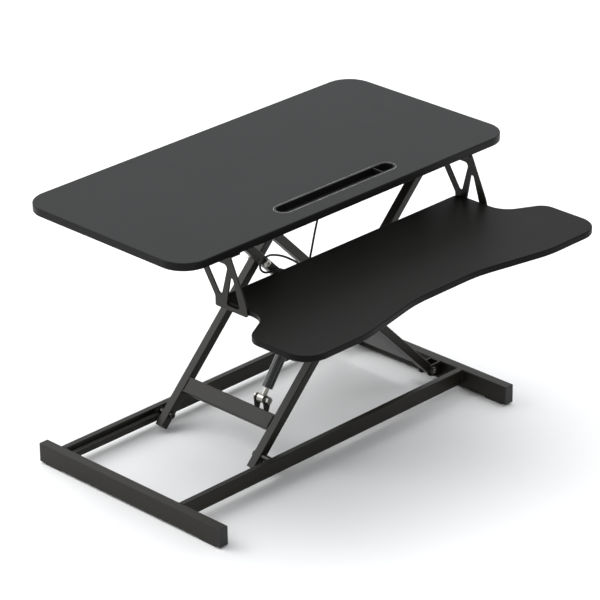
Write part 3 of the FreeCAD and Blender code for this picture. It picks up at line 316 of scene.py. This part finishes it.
def plated_steel(name="zinc_plate", dark=(0.36, 0.35, 0.32), light=(0.52, 0.505, 0.47)):
    """Zinc-plated steel with turning marks and slight tarnish."""
    return surface(name, dark, light, rough=0.34, grain=1300.0, relief=0.00004,
                   mottle=120.0, dust=0.1, rubbing=0.9, Metallic=1.0)[0]


def blackened_steel():
    return plated_steel("blackened_steel", (0.03, 0.03, 0.03), (0.05, 0.05, 0.048))


def dulled_steel():
    return plated_steel("dulled_steel", (0.06, 0.06, 0.058), (0.2, 0.2, 0.19))


def pull_wire():
    return plated_steel("pull_wire", (0.4, 0.4, 0.4), (0.6, 0.6, 0.6))


def cylinder_paint():
    return surface("cylinder_paint", (0.007, 0.007, 0.0075), (0.01, 0.01, 0.0105),
                   rough=0.24, grain=500.0, relief=0.00003, mottle=30.0, dust=0.4,
                   rubbing=0.6, Coat_Weight=0.25, Coat_Roughness=0.12)[0]


def chromed_rod():
    return surface("chromed_rod", (0.5, 0.5, 0.5), (0.6, 0.6, 0.6),
                   rough=0.12, grain=300.0, relief=0.000008, mottle=60.0, dust=0.05,
                   rubbing=0.3, Metallic=1.0)[0]


def cast_alloy():
    return surface("cast_alloy", (0.27, 0.27, 0.275), (0.36, 0.36, 0.365),
                   rough=0.5, grain=500.0, relief=0.00014, mottle=90.0, dust=0.3,
                   rubbing=0.3, Metallic=1.0)[0]


def cable_sheath():
    return surface("cable_sheath", (0.005, 0.005, 0.005), (0.008, 0.008, 0.008),
                   rough=0.5, grain=1600.0, relief=0.00005, dust=0.2, rubbing=0.3,
                   Specular_IOR_Level=0.15)[0]


finishes = {
    "powder_coat": powder_coat(),
    "worktop_laminate": worktop_laminate(),
    "shaded_tray_laminate": shaded_tray_laminate(),
    "moulded_plastic": moulded_plastic(),
    "slot_plastic": slot_plastic(),
    "nylon": nylon(),
    "roller_nylon": roller_nylon(),
    "foot_rubber": foot_rubber(),
    "zinc_plate": plated_steel(),
    "blackened_steel": blackened_steel(),
    "dulled_steel": dulled_steel(),
    "cylinder_paint": cylinder_paint(),
    "chromed_rod": chromed_rod(),
    "cast_alloy": cast_alloy(),
    "cable_sheath": cable_sheath(),
    "rim_highlight_paint": rim_highlight_paint(),
    "pull_wire": pull_wire(),
}
finish_of_slot = {
    "powder_coat": "powder_coat", "desk_board": "worktop_laminate",
    "black_plastic": "moulded_plastic", "nylon": "roller_nylon", "foot_rubber": "foot_rubber",
    "zinc_steel": "zinc_plate", "spring_paint": "cylinder_paint", "chromed_rod": "chromed_rod",
    "cast_alloy": "cast_alloy",
}
finish_of_node = {
    "keyboard_tray": "shaded_tray_laminate", "slot_tray": "slot_plastic", "running_strips": "nylon",
    "cable_worktop": "cable_sheath", "cable_outer": "cable_sheath",
    "cable_inner": "cable_sheath", "board_screws": "blackened_steel",
    "lever_pin": "blackened_steel", "worktop_hinge_fasteners": "blackened_steel",
    "rail_roller_axles": "blackened_steel", "channel_roller_axles": "blackened_steel",
    "base_hinge_fasteners": "dulled_steel",
}


def set_finish(piece, finish):
    """Gives a piece one finish in place of whatever it had."""
    piece.data.materials.clear()
    piece.data.materials.append(finishes[finish])


for part in frame["record"]["subparts"]:
    name = part["node"]
    set_finish(nodes[name], finish_of_node.get(name, finish_of_slot[part["material_slot"]]))


# ---- made pieces
def piece_from(name, shape, body, finish, smooth=True):
    """Turns a bmesh into a piece that rides on a body."""
    mesh = bpy.data.meshes.new(name)
    shape.to_mesh(mesh)
    shape.free()
    piece = bpy.data.objects.new(name, mesh)
    scene.collection.objects.link(piece)
    for face in mesh.polygons:
        face.use_smooth = smooth
    set_finish(piece, finish)
    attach(piece, body)


def sweep_ring(shape, centre, across, up, radius, count=8):
    """One ring of a tube, in the plane of two directions."""
    ring = []
    for k in range(count):
        angle = 2 * math.pi * k / count
        ring.append(shape.verts.new(centre + across * (radius * math.cos(angle))
                                    + up * (radius * math.sin(angle))))
    return ring


def bridge(shape, first, second):
    """Band of faces between two rings."""
    count = len(first)
    for k in range(count):
        shape.faces.new((first[k], first[(k + 1) % count],
                         second[(k + 1) % count], second[k]))


def cap(shape, ring, back=False):
    """Flat face that closes a ring."""
    shape.faces.new(list(reversed(ring)) if back else ring)


bead_radius = 0.0016
bead_step = 0.0011               # from one puddle to the next
bead_inset = 0.003               # from an edge of the welded face to the end of the bead
bead_sink = 0.0004               # how far a bead's middle lies inside the end of its bar
puddle_swell = 0.13              # share of the radius that comes and goes with each puddle
puddle_turn = 2.1                # radians of that ripple in one step
drift_swell = 0.06               # and the share that drifts slowly along the bead
drift_turn = 0.7
end_size = 0.55                  # share of the radius where a bead starts and stops
end_growth = 4.0                 # share gained over the bead's whole length


def weld_bead(shape, start, end):
    """Rippled bead from start to end, as overlapping puddles."""
    along = (end - start).normalized()
    across = along.orthogonal().normalized()
    up = along.cross(across)
    steps = max(4, int((end - start).length / bead_step))
    last = None
    for k in range(steps + 1):
        fraction = k / steps
        swell = (1.0 + puddle_swell * math.cos(k * puddle_turn)
                 + drift_swell * math.sin(k * drift_turn))
        taper = min(1.0, end_size + end_growth * min(fraction, 1.0 - fraction))
        ring = sweep_ring(shape, start.lerp(end, fraction), across, up,
                          bead_radius * swell * taper)
        if last:
            bridge(shape, last, ring)
        else:
            cap(shape, ring, back=True)
        last = ring
    cap(shape, last)


lift = Vector(joints["lift"]["pos_m"])
centre = Vector(joints["scissor_centre"]["pos_m"])
top_hinge = Vector(joints["worktop_hinge"]["pos_m"])
roller = Vector(joints["rear_rail_roller_spin"]["pos_m"])
outer_way = Vector((top_hinge.x - roller.x, 0, top_hinge.z - roller.z)).normalized()
inner_way = Vector((centre.x - lift.x, 0, centre.z - lift.z)).normalized()
bar_width = 0.030                # along the arms that a crossbar joins
bar_height = 0.016               # and across them


def bar_welds(bar, way, body):
    """Beads along both long edges of a crossbar, where it meets the two arms."""
    low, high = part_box(bar)
    middle = (low + high) / 2
    normal = Vector((-way.z, 0, way.x))
    reach = way * (bar_width / 2 - bead_inset)
    shape = bmesh.new()
    for y in (low.y + bead_sink, high.y - bead_sink):
        for side in (-1, 1):
            edge = Vector((middle.x, y, middle.z)) + normal * (side * bar_height / 2)
            weld_bead(shape, edge - reach, edge + reach)
    piece_from(bar + "_welds", shape, body, "powder_coat")


def upright_welds(name, rails, body):
    """Upright beads at the four corners of each rail."""
    shape = bmesh.new()
    for rail in rails:
        low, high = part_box(rail)
        for x in (low.x + bead_sink, high.x - bead_sink):
            for y in (low.y, high.y):
                weld_bead(shape, Vector((x, y, low.z + bead_inset)),
                          Vector((x, y, high.z - bead_inset)))
    piece_from(name, shape, body, "powder_coat")


for bar, way, body in (("outer_lower_bar", outer_way, "outer_frame"),
                       ("outer_upper_bar", outer_way, "outer_frame"),
                       ("inner_middle_bar", inner_way, "inner_frame"),
                       ("inner_upper_bar", inner_way, "inner_frame")):
    bar_welds(bar, way, body)
upright_welds("rail_welds", ("front_rail", "rear_rail"), "base")


def ring_of(shape, centre, way, radius, count=20):
    """One ring square to a direction."""
    across = way.orthogonal().normalized()
    up = way.cross(across)
    return sweep_ring(shape, centre, across, up, radius, count)


def turned_piece(shape, start, way, profile, count=20):
    """Solid of revolution along a direction; profile is (distance, radius) pairs."""
    rings = [ring_of(shape, start + way * distance, way, radius, count)
             for distance, radius in profile]
    cap(shape, rings[0], back=True)
    for first, second in zip(rings, rings[1:]):
        bridge(shape, first, second)
    cap(shape, rings[-1])


thread_root = 0.00395
thread_crest = 0.0042
thread_pitch = 0.0006
thread_start = 2.4               # pitches between the first root and the bolt's end
bolt_end_step = 0.0003           # height of the slope at the bolt's end


def bolt_threads(name, node, middle, body):
    """Threads on the two ends of a node's bolts that stand proud of their nuts."""
    low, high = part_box(node)
    profile = [(-3 * thread_pitch, thread_root)]
    for k in range(2):
        root = (k - thread_start) * thread_pitch
        profile += [(root, thread_root), (root + thread_pitch / 2, thread_crest)]
    profile += [(0.0, thread_root - bolt_end_step),
                (bolt_end_step, thread_root - 3 * bolt_end_step)]
    shape = bmesh.new()
    for y, way in ((low.y, -1), (high.y, 1)):
        turned_piece(shape, Vector((middle.x, y, middle.z)), Vector((0, way, 0)), profile)
    piece_from(name, shape, body, "zinc_plate", smooth=False)


bolt_threads("centre_pivot_threads", "centre_pivot_bolts", centre, "outer_frame")
bolt_threads("base_hinge_threads", "base_hinge_fasteners", lift, "base")


def slot_rim_highlight():
    """Thin pale ring at the joint between the slot tray's rim and the worktop, a painted highlight for the light
    caught by the rim's chamfer.
    """
    low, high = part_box("slot_tray")
    radius = (high.y - low.y) / 2
    middle_y = (high.y + low.y) / 2
    highlight_radius = 0.00035
    arc_steps = 16
    shape = bmesh.new()
    rings = []
    for x, first_angle in ((high.x - radius, -90), (low.x + radius, 90)):
        middle = Vector((x, middle_y, high.z))
        for k in range(arc_steps + 1):
            angle = math.radians(first_angle + 180 * k / arc_steps)
            out = Vector((math.cos(angle), math.sin(angle), 0))
            rings.append(sweep_ring(shape, middle + out * radius, out, Vector((0, 0, 1)),
                                    highlight_radius, 6))
    for first, second in zip(rings, rings[1:] + rings[:1]):
        bridge(shape, first, second)
    piece_from("slot_rim_highlight", shape, "worktop_assembly", "rim_highlight_paint")


slot_rim_highlight()


sleeve_bore = 0.0021             # radius at both ends of the sleeve
sleeve_radius = 0.0027
sleeve_length = 0.0094
collar_radius = 0.0029
crimp_radius = 0.00245
crimp_half = 0.0006              # half of one crimp's length
crimp_pitch = 0.0018
first_crimp = 0.003


def ferrule(name, start, way, body):
    """Crimped steel sleeve over the end of the cable's sheath."""
    profile = [(0.0, sleeve_bore), (0.0, sleeve_radius), (2 * crimp_half, collar_radius),
               (4 * crimp_half, sleeve_radius)]
    for k in range(3):
        step = first_crimp + k * crimp_pitch
        profile += [(step, sleeve_radius), (step + crimp_half, crimp_radius),
                    (step + 2 * crimp_half, sleeve_radius)]
    profile += [(sleeve_length - crimp_half, sleeve_radius - 0.0001),
                (sleeve_length, sleeve_bore)]
    shape = bmesh.new()
    turned_piece(shape, start, way, profile, 18)
    piece_from(name, shape, body, "dulled_steel")


cable_drop = 0.005               # from the hand lever's pin down to the cable
head_shift_x = -0.0133           # from the centre pivot to the cable at the spring lever
head_shift_z = 0.0243
lever = Vector(joints["hand_lever"]["pos_m"])
sheath_end = Vector((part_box("lever_housing")[0].x, lever.y, lever.z - cable_drop))
ferrule("lever_ferrule", sheath_end, Vector((-1, 0, 0)), "worktop_assembly")
head_end = Vector((centre.x + head_shift_x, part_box("spring_lever_plates")[1].y,
                   centre.z + head_shift_z))
ferrule("head_ferrule", head_end, Vector((0, 1, 0)), "inner_frame")


def lever_wire():
    """Wire between the sheath's end and the hand lever's short arm, with its nipple."""
    wire_radius = 0.0006
    wire_inset = 0.0025              # the wire starts this far past the sheath's end
    pin_gap = 0.003                  # and stops this far short of the lever's pin
    nipple_radius = 0.0018
    nipple_length = 0.002
    nipple_bevel = 0.0004
    along = Vector((1, 0, 0))
    shape = bmesh.new()
    start = sheath_end + along * wire_inset
    reach = lever.x - pin_gap - start.x
    turned_piece(shape, start, along,
                 [(0.0, wire_radius), (reach * 0.5, wire_radius), (reach, wire_radius)], 10)
    turned_piece(shape, start + along * (reach - nipple_length), along,
                 [(0.0, wire_radius), (nipple_bevel, nipple_radius),
                  (nipple_length, nipple_radius)], 14)
    piece_from("lever_wire", shape, "hand_lever", "pull_wire")


lever_wire()


# ---- floor, lights and camera
floor_reach = 14.0               # half the side of the floor
world_front = 0.55               # brightness of the studio behind the camera
world_back = 1.15                # and behind the object
camera_place = (-3.6848, -3.6204, 2.7274)
camera_lens = 197.76
camera_down = 25.211             # degrees below the horizon
camera_turn = -45.13             # degrees from +Y
camera_roll = -0.73


def lay_floor():
    floor_mesh = bmesh.new()
    bmesh.ops.create_grid(floor_mesh, x_segments=1, y_segments=1, size=floor_reach)
    mesh = bpy.data.meshes.new("floor")
    floor_mesh.to_mesh(mesh)
    floor_mesh.free()
    floor = bpy.data.objects.new("floor", mesh)
    scene.collection.objects.link(floor)
    paper = new_material("floor_paper", Base_Color=(0.93, 0.93, 0.93, 1.0), Roughness=0.85,
                         Specular_IOR_Level=0.1)[0]
    mesh.materials.append(paper)
    floor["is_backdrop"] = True


def light_studio():
    """Surroundings that brighten from the camera's side to the far side."""
    world = bpy.data.worlds.new("studio")
    world.use_nodes = True
    tree = world.node_tree
    back = tree.nodes["Background"]
    split = add_node(tree, "ShaderNodeSeparateXYZ", (-600, 0))
    place = add_node(tree, "ShaderNodeTexCoord", (-800, 0)).outputs["Generated"]
    tree.links.new(place, split.inputs["Vector"])
    depth = combine(tree, "ADD",
                    combine(tree, "MULTIPLY", split.outputs["Y"], 0.75, (-400, 0)),
                    combine(tree, "MULTIPLY", split.outputs["X"], 0.5, (-400, -150)),
                    (-250, 0))
    level = remap(tree, depth, -0.8, 0.9, (-100, 0), world_front, world_back)
    tree.links.new(level, back.inputs["Strength"])
    back.inputs["Color"].default_value = (0.97, 0.985, 1.0, 1.0)
    scene.world = world


def soft_light(name, place, target, size, power):
    """Rectangular lamp that faces a point; size in metres, power in watts."""
    lamp = bpy.data.lights.new(name, "AREA")
    lamp.shape = "RECTANGLE"
    lamp.size, lamp.size_y = size
    lamp.energy = power
    holder = bpy.data.objects.new(name, lamp)
    holder.location = place
    holder.rotation_euler = (Vector(target) - Vector(place)).to_track_quat("-Z", "Y").to_euler()
    scene.collection.objects.link(holder)


def set_camera():
    """Long lens, from the front left and above."""
    view = bpy.data.cameras.new("camera")
    view.lens = camera_lens
    view.sensor_width = 36.0
    view.clip_end = 40.0
    holder = bpy.data.objects.new("camera", view)
    holder.location = camera_place
    turn = Euler((math.radians(90 - camera_down), 0, math.radians(camera_turn))).to_matrix()
    turn = turn @ Matrix.Rotation(math.radians(camera_roll), 3, "Z")
    holder.rotation_euler = turn.to_euler()
    scene.collection.objects.link(holder)
    scene.camera = holder


lay_floor()
light_studio()
middle = (Vector(cad_low) + Vector(cad_high)) / 2
soft_light("overhead", (0.0, -0.2, 3.4), middle, size=(3.4, 3.4), power=75.0)
soft_light("left", (-3.2, 0.6, 1.6), middle, size=(2.0, 1.6), power=6.0)
soft_light("back_left", (-1.7, 2.5, 2.6), middle, size=(2.6, 2.2), power=60.0)
set_camera()
scene.view_settings.view_transform = "Standard"
scene.view_settings.look = "None"
